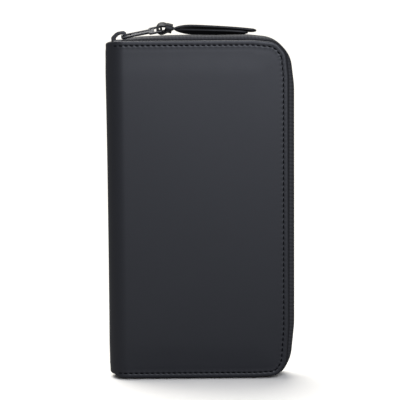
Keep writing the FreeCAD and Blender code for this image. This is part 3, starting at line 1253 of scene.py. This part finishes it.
@dataclass
class ZipSide:
    """One half's zip tape and its coil row."""

    side: Side
    finishes: Finishes
    gap: float = 0.33
    thickness: float = 0.7
    step: float = 0.6
    bend: float = 2.7
    leg: float = 8.0
    rib_pitch: float = 1.15
    rib_depth: float = 0.04
    tooth_pitch: float = 1.2
    tooth_middle: float = 0.8
    tooth_width: float = 2.1
    coil_depth: float = 0.72
    coil_start: dict[Side, float] = field(default_factory=lambda: {Side.FRONT: -44.9, Side.BACK: -53.0})
    coil_end: float = -52.5
    end_radius: float = 7.6
    crown_rise: float = 0.85

    def section(self) -> tuple[Points, Points, Points]:
        """Returns the tape's section: depth inside the band's line, y, and its length so far."""
        low = SHAPE.leg_y - 0.1
        inset = [self.leg, 6.0, 4.6, 4.1, 3.7, 3.2]
        y = [low - 0.05, low - 0.02, low, low, low, low]
        for share in np.linspace(0.0, 1.0, 9):
            angle = share * math.pi / 2
            inset.append(self.bend * (1.0 - math.sin(angle)))
            y.append(low - self.bend * (1.0 - math.cos(angle)))
        for depth in (5.6, 4.6, 3.6, 2.9, 2.5, 2.1, 1.6, 1.1, 0.7, self.gap + 0.12, self.gap):
            inset.append({2.5: 0.06, self.gap: 0.16, self.gap + 0.12: 0.05}.get(depth, 0.0))
            y.append(depth)
        inset_line, y_line = np.array(inset), np.array(y)
        steps = np.hypot(np.diff(inset_line), np.diff(y_line))
        return inset_line, y_line, np.concatenate([[0.0], np.cumsum(steps)])

    def build_tape(self) -> bpy.types.Object:
        """Makes the woven tape as a swept, ribbed band."""
        outer = Path(band_corners(self.crown_rise), self.step)
        track = Path(band_corners(0.0), self.step)
        share = outer.along / outer.along[-1]
        track_points = np.stack(
            [np.interp(share, track.along / track.along[-1], track.points[:, i]) for i in (0, 1)], axis=1
        )
        inset, y, across = self.section()
        rib = self.rib_depth * np.cos(2 * math.pi * outer.along / self.rib_pitch)
        rows = []
        for depth, side_y in zip(inset, y):
            towards = 1.0 - float(smoothstep(np.float64(side_y), 4.5, 6.9))
            line = outer.points * (1 - towards) + track_points * towards
            lift = rib * (1.0 if depth < 3.0 else 0.0)
            flat = line + outer.inward * (depth - lift)[:, None]
            y_line = np.full(len(flat), self.side.value * side_y)
            rows.append(np.stack([flat[:, 0], y_line, flat[:, 1]], axis=1))
        self._keep_inside_spine(rows)
        faces = grid_faces(len(rows), len(outer.points))
        mesh = mesh_from(f"{self.side.prefix}_tape", np.concatenate(rows), faces, flip=self.side is Side.BACK)
        # painted shade mask: rises to 1 where the tape runs into the groove under the cover's edge
        to_cover = self._depth_of_cover(outer)
        painted_groove_shade = np.concatenate([smoothstep(depth - to_cover, -1.3, -0.4) for depth in inset])
        mesh.attributes.new("painted_groove_shade", "FLOAT", "POINT").data.foreach_set("value", painted_groove_shade.astype(np.float32))
        layer = mesh.uv_layers.new(name="tape")
        uv = np.array([(u * MM, v * MM) for v in across for u in outer.along])
        loops = np.empty(len(mesh.loops), np.int32)
        mesh.loops.foreach_get("vertex_index", loops)
        layer.data.foreach_set("uv", uv[loops].astype(np.float32).ravel())
        obj = thickened(new_object(f"{self.side.prefix}_tape", mesh, self.finishes.tape), self.thickness)
        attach(obj, self.side.body)
        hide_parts(f"{self.side.prefix}_zip_tape")
        return obj

    def _depth_of_cover(self, outer: Path) -> Points:
        """Measures how far inside the band's line the cover's edge begins.

        Args:
            outer: The band's line.

        Returns:
            One depth for each point of the line.
        """
        edge = Path(cover_corners(), 1.0).points + np.array([SHAPE.spine_x, 0.0])
        apart = outer.points[:, None, :] - edge[None, :, :]
        return np.hypot(apart[..., 0], apart[..., 1]).min(axis=1)

    def _keep_inside_spine(self, rows: list[Points]) -> None:
        """Draws the tape's two ends in towards the zip, to fit inside the spine's curve.

        Args:
            rows: The tape's rows of points, which are changed in place.
        """
        for row in rows:
            reach = np.clip(SHAPE.spine_x - row[:, 0], 0.0, self.end_radius - 0.5)
            widest = np.sqrt(self.end_radius**2 - reach**2)
            on_spine = row[:, 0] < SHAPE.spine_x
            narrowed = np.minimum(np.abs(row[:, 1]), widest)
            row[:, 1] = np.where(on_spine, self.side.value * narrowed, row[:, 1])

    def build_coil(self, tree: RowTree) -> bpy.types.Object:
        """Makes the row of coil loops on the tape's inner face.

        Args:
            tree: The tree that repeats coil loops.

        Returns:
            The coil as one piece.
        """
        path = Path(band_corners(0.0), self.tooth_pitch / 2)
        high = path.points[:, 1] > SHAPE.height / 2
        upper = (path.points[:, 0] > self.coil_start[self.side]) | ~high
        lower = (path.points[:, 0] > self.coil_end) | high
        parity = np.arange(len(path.points)) % 2 == (0 if self.side is Side.FRONT else 1)
        flat = path.offset(self.thickness + self.coil_depth)[upper & lower & parity]
        middle = self.side.value * self.tooth_middle
        line = np.stack([flat[:, 0], np.full(len(flat), middle), flat[:, 1]], axis=1)
        spacing = float(np.linalg.norm(np.diff(line, axis=0), axis=1).mean())
        obj = tree.row(
            f"{self.side.prefix}_coil",
            [line],
            Pitch=spacing * 0.9999,
            Length=0.5,
            Width=self.tooth_width,
            Height=1.3,
            Jitter=0.0,
        )
        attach(obj, self.side.body)
        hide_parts(f"{self.side.prefix}_zip_coil")
        return obj

    def sew(self, tree: RowTree) -> bpy.types.Object:
        """Makes the two fine stitch lines that hold the coil, seen on the tape's outer face.

        Args:
            tree: The tree that repeats stitches.

        Returns:
            Both lines as one piece.
        """
        path = Path(band_corners(0.0), 0.6)
        lines = []
        for depth in (1.05, 2.5):
            flat = path.offset(-0.01)
            lines.append(
                np.stack([flat[:, 0], np.full(len(flat), self.side.value * depth), flat[:, 1]], axis=1)
            )
        obj = tree.row(
            f"{self.side.prefix}_tape_stitching",
            lines,
            Pitch=2.3,
            Length=1.9,
            Width=0.26,
            Height=0.2,
            Jitter=0.02,
        )
        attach(obj, self.side.body)
        return obj


@dataclass
class ZipSlider:
    """Slider body and bail."""

    finishes: Finishes
    plate: float = 0.9
    lift: float = 0.2
    lower_top: float = -2.9
    post_half: float = 0.25
    bail_half: float = 0.9

    def track(self) -> Matrix:
        """Returns the slider's own frame, in millimetres: x along the track and z out of the tape."""
        low, high = node_box("slider_bail")
        middle_x = low.x + (high.x - low.x) / 2
        place = Matrix.Translation((middle_x, 0.0, self._track_height(middle_x) + self.lift))
        return place @ Matrix.Rotation(-math.radians(TRACK_ANGLE), 4, "Y")

    def _track_height(self, x: float) -> float:
        """Returns the tape's outer face under the slider."""
        return SHAPE.height + (x - LEVEL_X) * math.tan(math.radians(TRACK_ANGLE))

    def shield(self) -> list[tuple[float, float]]:
        """Returns the plates' outline, wide at the nose."""
        return rounded_polygon([
            (-5.0, -1.7, 0.8),
            (-3.4, -4.2, 1.2),
            (-0.5, -4.2, 1.5),
            (5.0, -3.1, 0.9),
            (5.0, 3.1, 0.9),
            (-0.5, 4.2, 1.5),
            (-3.4, 4.2, 1.2),
            (-5.0, 1.7, 0.8),
        ])

    def build(self) -> list[bpy.types.Object]:
        """Makes both pieces and dresses them."""
        track = self.track()
        metal = self.finishes.metal
        top = flat_plate(
            "slider_body_plates", [self.shield()], self.plate, 0.28,
            track @ Matrix.Translation((0, 0, self.plate / 2)), metal,
        )
        low_plate = flat_plate(
            "slider_low", [self.shield()], self.plate, 0.25,
            track @ Matrix.Translation((0, 0, self.lower_top - self.plate / 2)), metal,
        )
        parts = [top, low_plate]
        for side in (-1, 1):
            outside = [(-3.2, side * 4.0), (-0.5, side * 4.0), (4.9, side * 3.0)]
            wall = outside + [(4.9, side * 2.45), (-3.2, side * 2.6)]
            height = -1.2 - self.lower_top
            parts.append(flat_plate(
                f"slider_wall_{side}", [wall], height, 0.12,
                track @ Matrix.Translation((0, 0, self.lower_top + height / 2)), metal,
            ))
        half = self.post_half
        post = [(-5.0, -half), (-2.7, -half), (-2.7, half), (-5.0, half)]
        parts.append(flat_plate(
            "slider_post", [post], -self.lower_top + 0.4, 0.08,
            track @ Matrix.Translation((0, 0, self.lower_top / 2)), metal,
        ))
        body = joined("slider_metal", parts)
        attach(body, "slider")
        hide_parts("slider_body")
        arch = rounded_polygon([
            (-5.0, self.plate - 0.1, 0.0), (-5.0, 3.0, 2.0), (-1.4, 6.1, 5.0), (3.4, 6.5, 2.0),
            (4.9, 5.2, 0.9), (4.9, self.plate - 0.1, 0.0),
        ])
        hole = rounded_polygon([
            (-2.0, self.plate - 0.4, 0.0), (-2.0, 2.2, 0.6), (0.2, 4.0, 1.3),
            (3.2, 4.4, 0.9), (3.2, self.plate - 0.4, 0.0),
        ])
        section = arch + hole[::-1]
        upright = track @ Matrix.Rotation(math.radians(90), 4, "X")
        bail = flat_plate("bail", [section], 2 * self.bail_half, 0.32, upright, metal)
        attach(bail, "slider")
        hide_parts("slider_bail")
        return [body, bail]


def joined(name: str, parts: Sequence[bpy.types.Object]) -> bpy.types.Object:
    """Joins pieces of one finish into one object.

    Args:
        name: The new object's name.
        parts: The pieces, which are removed.

    Returns:
        The joined object.
    """
    shape = bmesh.new()
    for part in parts:
        shape.from_mesh(part.data)
    mesh = parts[0].data.copy()
    shape.to_mesh(mesh)
    shape.free()
    material = parts[0].data.materials[0]
    for part in parts:
        bpy.data.objects.remove(part)
    mesh.name = name
    return new_object(name, mesh, material)


@dataclass
class ZipPull:
    """The flat metal ring on the bail, narrow at the bail and wide where the strap is tied."""

    finishes: Finishes
    pivot: tuple[float, float, float] = (-49.4, 0.0, 221.6)
    lift: float = 11.0
    roll: float = 20.0
    length: float = 26.0
    bar: float = 1.4
    neck_length: float = 17.0
    neck_half: float = 2.6
    neck_slot: float = 1.5
    head_half: float = 4.75
    head_slot: float = 3.5
    web_start: float = 6.0
    web_end: float = 20.8
    web: float = 0.5

    def own_frame(self, reach: float = 0.0) -> Matrix:
        """Returns the ring's frame, in millimetres, moved along the ring by reach."""
        return (
            Matrix.Translation(self.pivot)
            @ Matrix.Rotation(-math.radians(self.lift), 4, "Y")
            @ Matrix.Rotation(math.radians(self.roll), 4, "X")
            @ Matrix.Translation((reach, 0.0, 0.0))
        )

    @staticmethod
    def outline(
        start: float, end: float, narrow: float, wide: float, step: float, radius: float
    ) -> list[tuple[float, float]]:
        """Returns a stepped outline.

        Args:
            start: Where it begins along the ring.
            end: Where it ends.
            narrow: Half its width up to the step.
            wide: Half its width after the step.
            step: Where it widens.
            radius: The radius of its four outer corners.

        Returns:
            The outline's points.
        """
        return rounded_polygon([
            (start, -narrow, radius), (step, -narrow, 0.5), (step + 0.6, -wide, radius), (end, -wide, radius),
            (end, wide, radius), (step + 0.6, wide, radius), (step, narrow, 0.5), (start, narrow, radius),
        ])

    def build(self) -> bpy.types.Object:
        """Makes the ring and dresses it."""
        half = self.bar / 2
        outer = self.outline(-half, self.length, self.neck_half, self.head_half, self.neck_length, 1.1)
        slot_step = self.neck_length + self.bar
        inner = self.outline(half, self.length - self.bar, self.neck_slot, self.head_slot, slot_step, 0.45)
        rim = flat_plate("pull_rim", [outer, inner], self.bar, 0.42, self.own_frame(), self.finishes.metal)
        narrow, wide = self.neck_half - 0.4, self.head_half - 0.4
        sheet = self.outline(self.web_start, self.web_end, narrow, wide, slot_step, 0.3)
        web = flat_plate("pull_web", [sheet], self.web, 0.1, self.own_frame(), self.finishes.metal)
        ring = joined("pull_ring", [rim, web])
        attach(ring, "pull")
        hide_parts("pull_frame")
        return ring


@dataclass(frozen=True)
class StrapStation:
    """One station of the strap's centreline."""

    x: float
    z: float
    y: float = 0.0
    width: float = 6.0
    roll: float = 0.0


@dataclass
class PullStrap:
    """A leather strap looped round the pull's end bar, crossed once, with two free tails."""

    finishes: Finishes
    thickness: float = 1.35
    samples: int = 9
    keeper_at: tuple[float, float, float] = (-19.7, 0.0, 227.0)
    keeper_tall: float = 2.35
    keeper_deep: float = 3.0
    keeper_width: float = 4.6
    keeper_lean: float = -14.0

    def stations(self) -> list[StrapStation]:
        """Returns the centreline from the tip of the upper tail round the bar to the lower tip."""
        return [
            StrapStation(36.2, 225.0, 0.0, 5.0, -14.0),
            StrapStation(29.0, 225.5, 0.0, 5.8, -20.0),
            StrapStation(20.0, 226.1, 0.0, 6.0, -24.0),
            StrapStation(10.0, 226.75, 0.1, 6.0, -25.0),
            StrapStation(0.0, 227.3, 0.0, 6.0, -25.0),
            StrapStation(-7.0, 227.7, -0.1, 6.0, -20.0),
            StrapStation(-11.5, 227.7, -0.4, 5.4, -12.0),
            StrapStation(-15.0, 227.1, -1.0, 4.4, -6.0),
            StrapStation(-18.2, 226.0, -1.3, 3.8, 8.0),
            StrapStation(-21.4, 225.0, -0.8, 5.0, 18.0),
            StrapStation(-24.2, 224.2, 0.0, 5.6, 20.0),
            StrapStation(-26.3, 225.1, 0.0, 5.8, 20.0),
            StrapStation(-26.8, 227.2, 0.0, 5.8, 20.0),
            StrapStation(-25.4, 228.9, 0.0, 5.8, 20.0),
            StrapStation(-22.7, 229.1, 0.1, 6.2, 20.0),
            StrapStation(-20.0, 228.4, 0.7, 4.6, 12.0),
            StrapStation(-17.0, 227.1, 1.3, 3.8, 0.0),
            StrapStation(-14.0, 225.6, 0.9, 4.8, -14.0),
            StrapStation(-8.0, 224.85, 0.1, 5.8, -30.0),
            StrapStation(0.0, 224.5, 0.0, 6.0, -32.0),
            StrapStation(10.0, 224.25, 0.0, 6.0, -29.0),
            StrapStation(20.0, 224.1, 0.0, 6.0, -23.0),
            StrapStation(30.8, 223.75, 0.0, 5.2, -15.0),
        ]

    def centreline(self) -> Points:
        """Returns smooth stations: x, y, z, width and roll."""
        rows = np.array([(s.x, s.y, s.z, s.width, s.roll) for s in self.stations()])
        padded = np.concatenate([[2 * rows[0] - rows[1]], rows, [2 * rows[-1] - rows[-2]]])
        result = []
        for index in range(1, len(padded) - 2):
            before, start, end, after = padded[index - 1 : index + 3]
            for share in np.arange(self.samples) / self.samples:
                square, cube = share * share, share**3
                result.append(0.5 * (
                    2 * start
                    + (end - before) * share
                    + (2 * before - 5 * start + 4 * end - after) * square
                    + (3 * start - before - 3 * end + after) * cube
                ))
        result.append(padded[-2])
        return np.array(result)

    def section(self) -> list[tuple[float, float]]:
        """Returns the strap's section: the share of half its width, and the height in millimetres."""
        half = self.thickness / 2
        rounded = [(-1.0, 0.35), (-0.985, 0.7), (-0.95, 0.92), (-0.88, 1.0)]
        under = [(x, -up) for x, up in rounded] + [(-0.5, -1.0), (0.0, -1.0), (0.5, -1.0)]
        under += [(-x, -up) for x, up in reversed(rounded)]
        over = [(-x, up) for x, up in rounded] + [(0.5, 1.04), (0.0, 1.06), (-0.5, 1.04)]
        over += reversed(rounded)
        return [(across, up * half) for across, up in under + over]

    def tail_rings(self) -> list[Points]:
        """Returns the strap's sections along its centreline."""
        line = self.centreline()
        tangent = np.gradient(line[:, :3], axis=0)
        tangent /= np.linalg.norm(tangent, axis=1)[:, None]
        rings = []
        for index, (station, along) in enumerate(zip(line, tangent)):
            roll = math.radians(station[4])
            across = np.array([0.0, math.cos(roll), math.sin(roll)])
            across -= along * (across @ along)
            across /= np.linalg.norm(across)
            end = min(index, len(line) - 1 - index)
            taper = min(1.0, 0.62 + 0.38 * math.sin(min(1.0, end / 4.0) * math.pi / 2))
            slim = min(1.0, 0.35 + 0.65 * min(1.0, end / 2.0))
            rings.append(self.ring(station[:3], across, np.cross(along, across), station[3] * taper, slim))
        return rings

    def keeper_rings(self) -> list[Points]:
        """Returns the sections of the turn that holds both legs of the loop together."""
        centre, tall, deep = np.array(self.keeper_at), self.keeper_tall, self.keeper_deep
        lean = math.radians(self.keeper_lean)
        up = np.array([-math.sin(lean), 0.0, math.cos(lean)])
        across = np.array([math.cos(lean), 0.0, math.sin(lean)])
        rings = []
        for turn in np.linspace(0.0, 2 * math.pi, 48, endpoint=False):
            spot = centre + up * tall * math.cos(turn) + np.array([0.0, deep * math.sin(turn), 0.0])
            out = up * math.cos(turn) / tall + np.array([0.0, math.sin(turn) / deep, 0.0])
            rings.append(self.ring(spot, across, out / np.linalg.norm(out), self.keeper_width, 1.0))
        return rings

    def ring(self, centre: Points, across: Points, up: Points, width: float, slim: float) -> Points:
        """Returns one section of the strap.

        Args:
            centre: Its middle.
            across: The direction of its width.
            up: The direction of its thickness.
            width: The strap's width there.
            slim: The share of the full thickness.

        Returns:
            The section's points.
        """
        return np.array([
            centre + across * (share * width / 2) + up * height * slim for share, height in self.section()
        ])

    def build(self) -> bpy.types.Object:
        """Sweeps the strap and its keeper turn, and dresses them."""
        tails, keeper = self.tail_rings(), self.keeper_rings()
        size = len(self.section())
        faces = [tuple(face) for face in grid_faces(len(tails), size, closed=True)]
        faces.append(tuple(reversed(range(size))))
        faces.append(tuple((len(tails) - 1) * size + i for i in range(size)))
        start = len(tails) * size
        turn = [tuple(start + i for i in face) for face in grid_faces(len(keeper) + 1, size, closed=True)]
        total = start + len(keeper) * size
        faces += [tuple(i if i < total else i - len(keeper) * size for i in face) for face in turn]
        mesh = mesh_from("strap", np.concatenate(tails + keeper), faces)
        fix = bmesh.new()
        fix.from_mesh(mesh)
        bmesh.ops.recalc_face_normals(fix, faces=fix.faces)
        fix.to_mesh(mesh)
        fix.free()
        obj = new_object("strap", mesh, self.finishes.strap)
        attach(obj, "strap")
        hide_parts("pull_strap")
        return obj


# ---------------------------------------------------------------- inside


@dataclass
class InnerPanel:
    """A pocket wall or card slot, with softened edges and a stitch line along its mouth."""

    node: str
    body: str
    finishes: Finishes
    tree: RowTree
    bevel: float = 0.22
    thread_out: float = 0.06

    def build(self) -> list[bpy.types.Object]:
        """Makes the panel and its stitches."""
        low, high = node_box(self.node)
        panel = rounded_block(f"{self.node}_panel", low, high, self.bevel, self.finishes.pocket)
        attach(panel, self.body)
        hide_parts(self.node)
        inner = low.y if self.body == "back_half" else high.y
        y = inner + math.copysign(self.thread_out, inner)
        mouth = high.x - 2.0
        line = np.array([(mouth, y, z) for z in np.arange(low.z + 1.5, high.z - 1.4, 0.5)])
        seam = self.tree.row(
            f"{self.node}_stitching", [line], Pitch=3.0, Length=2.2, Width=0.4, Height=0.34, Jitter=0.03
        )
        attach(seam, self.body)
        return [panel, seam]


# ---------------------------------------------------------------- studio


@dataclass(frozen=True)
class Studio:
    """Pale floor, soft light, and the camera."""

    distance: float = 1149.2
    tilt: float = 7.857
    roll: float = -0.458
    target: tuple[float, float, float] = (-0.6, 0.0, 116.08)
    lens: float = 159.9
    floor_size: float = 40.0
    bounce: float = 0.22
    sky: float = 0.21
    sun: float = 3.4
    key: float = 6.5

    def floor(self) -> None:
        """Makes the floor that the organizer stands on."""
        half = self.floor_size / 2
        mesh = bpy.data.meshes.new("floor")
        corners = [(-half, -half, 0), (half, -half, 0), (half, half, 0), (-half, half, 0)]
        mesh.from_pydata(corners, [], [(0, 1, 2, 3)])
        shader = Shader("studio_floor")
        shader.set(Base_Color=(0.96, 0.93, 0.865, 1.0), Roughness=0.9, Specular_IOR_Level=0.0)
        dim = shader.node("ShaderNodeBsdfDiffuse", Color=(self.bounce, self.bounce, self.bounce, 1.0))
        seen = shader.node("ShaderNodeLightPath")
        mix = shader.node("ShaderNodeMixShader")
        shader.link(seen.outputs["Is Camera Ray"], mix.inputs[0])
        shader.link(dim.outputs["BSDF"], mix.inputs[1])
        shader.link(shader.surface.outputs["BSDF"], mix.inputs[2])
        shader.link(mix.outputs["Shader"], shader.tree.nodes["Material Output"].inputs["Surface"])
        floor = new_object("floor", mesh, shader.material)

    def light(self) -> None:
        """Makes the sky, an overhead soft light and a soft panel above the front."""
        world = bpy.data.worlds.new("studio")
        world.use_nodes = True
        background = world.node_tree.nodes["Background"]
        background.inputs["Color"].default_value = (0.93, 0.96, 1.0, 1.0)
        background.inputs["Strength"].default_value = self.sky
        nodes, link = world.node_tree.nodes, world.node_tree.links.new
        backdrop, mix = nodes.new("ShaderNodeBackground"), nodes.new("ShaderNodeMixShader")
        backdrop.inputs["Color"].default_value = (1.0, 1.0, 1.0, 1.0)
        link(nodes.new("ShaderNodeLightPath").outputs["Is Camera Ray"], mix.inputs[0])
        link(background.outputs["Background"], mix.inputs[1])
        link(backdrop.outputs["Background"], mix.inputs[2])
        link(mix.outputs["Shader"], nodes["World Output"].inputs["Surface"])
        bpy.context.scene.world = world
        sun = bpy.data.lights.new("overhead", "SUN")
        sun.energy = self.sun
        sun.angle = math.radians(50.0)
        overhead = bpy.data.objects.new("overhead", sun)
        overhead.rotation_euler = (math.radians(-20.0), math.radians(-12.0), 0.0)
        bpy.context.scene.collection.objects.link(overhead)
        self._panel("key", (0.12, -0.78, 0.50), (0.0, 0.0, 0.15), 0.50, self.key)

    def _panel(
        self, name: str, place: Sequence[float], aim: Sequence[float], size: float, power: float
    ) -> None:
        """Adds a square soft light.

        Args:
            name: Its name.
            place: Where it hangs, in metres.
            aim: The point that it faces.
            size: Its side.
            power: Its power in watts.
        """
        lamp = bpy.data.lights.new(name, "AREA")
        lamp.energy = power
        lamp.size = size
        lamp.color = (0.84, 0.88, 1.0)
        holder = bpy.data.objects.new(name, lamp)
        holder.location = place
        holder.rotation_euler = (Vector(aim) - Vector(place)).to_track_quat("-Z", "Y").to_euler()
        bpy.context.scene.collection.objects.link(holder)

    def camera(self) -> None:
        """Makes the camera, level with the upper edge and turned slightly."""
        tilt, roll = math.radians(self.tilt), math.radians(self.roll)
        forward = Vector((0.0, math.cos(tilt), -math.sin(tilt)))
        level = Vector((1.0, 0.0, 0.0))
        up = level.cross(forward)
        right = level * math.cos(roll) + up * math.sin(roll)
        up = up * math.cos(roll) - level * math.sin(roll)
        data = bpy.data.cameras.new("camera")
        data.lens = self.lens
        data.sensor_width = 36.0
        data.clip_end = 100.0
        camera = bpy.data.objects.new("camera", data)
        axes = Matrix((right, up, -forward)).transposed().to_4x4()
        axes.translation = (Vector(self.target) - forward * self.distance) * MM
        camera.matrix_world = axes
        bpy.context.scene.collection.objects.link(camera)
        bpy.context.scene.camera = camera
        bpy.context.scene.view_settings.view_transform = "Standard"


# ---------------------------------------------------------------- assembly


def dress_nodes(finishes: Finishes) -> None:
    """Gives the CAD nodes that stay in view their finish."""
    for side in Side:
        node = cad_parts[f"{side.prefix}_board"]
        node.data.materials.clear()
        node.data.materials.append(finishes.board)


def build_half(side: Side, finishes: Finishes, stitch: RowTree, tooth: RowTree) -> None:
    """Builds one half: shell, layers, zip side and their stitches.

    Args:
        side: Which half.
        finishes: The materials.
        stitch: The tree that repeats stitches.
        tooth: The tree that repeats coil loops.
    """
    shell = CoverShell(side, finishes)
    LOG.info("shell %s", shell.build().name)
    LOG.info("stitching %s", shell.sew(stitch).name)
    prefix = side.prefix
    layers = [
        LayerSheet(
            side,
            finishes.foam,
            f"{prefix}_foam",
            outer=10.85,
            thickness=0.75,
            inset=1.2,
            spine_inset=3.0,
            nodes=(f"{prefix}_padding", "spine_padding"),
            slot="padding",
            fill=0.9,
        ),
        LayerSheet(
            side,
            finishes.lining,
            f"{prefix}_lining_cloth",
            outer=8.65,
            thickness=0.5,
            inset=1.0,
            spine_inset=3.6,
            nodes=(f"{prefix}_lining", "spine_lining"),
            slot="lining",
        ),
    ]
    for layer in layers:
        LOG.info("layer %s", layer.build().name)
    zip_side = ZipSide(side, finishes)
    for piece in (zip_side.build_tape(), zip_side.build_coil(tooth), zip_side.sew(stitch)):
        LOG.info("zip %s", piece.name)


def main() -> None:
    """Builds every piece in order and reports it."""
    logging.basicConfig(level=logging.INFO, format="%(message)s")
    studio = Studio()
    studio.floor()
    studio.light()
    studio.camera()
    finishes = Finishes.make()
    stitch = RowTree("stitch_row", finishes.thread, keep_upright=False)
    tooth = RowTree("coil_row", finishes.nylon, keep_upright=True)
    for side in Side:
        build_half(side, finishes, stitch, tooth)
    for piece in ZipSlider(finishes).build():
        LOG.info("slider %s", piece.name)
    LOG.info("pull %s", ZipPull(finishes).build().name)
    LOG.info("strap %s", PullStrap(finishes).build().name)
    inner = [("back_ticket_pocket", "back_half"), ("passport_sleeve", "back_half")]
    inner.append(("front_ticket_pocket", "front_half"))
    inner += [(name, "front_half") for name in sorted(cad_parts) if name.startswith("card_slot")]
    for node, body in inner:
        for piece in InnerPanel(node, body, finishes, stitch).build():
            LOG.info("inside %s", piece.name)
    dress_nodes(finishes)


if __name__ == "__main__":
    main()
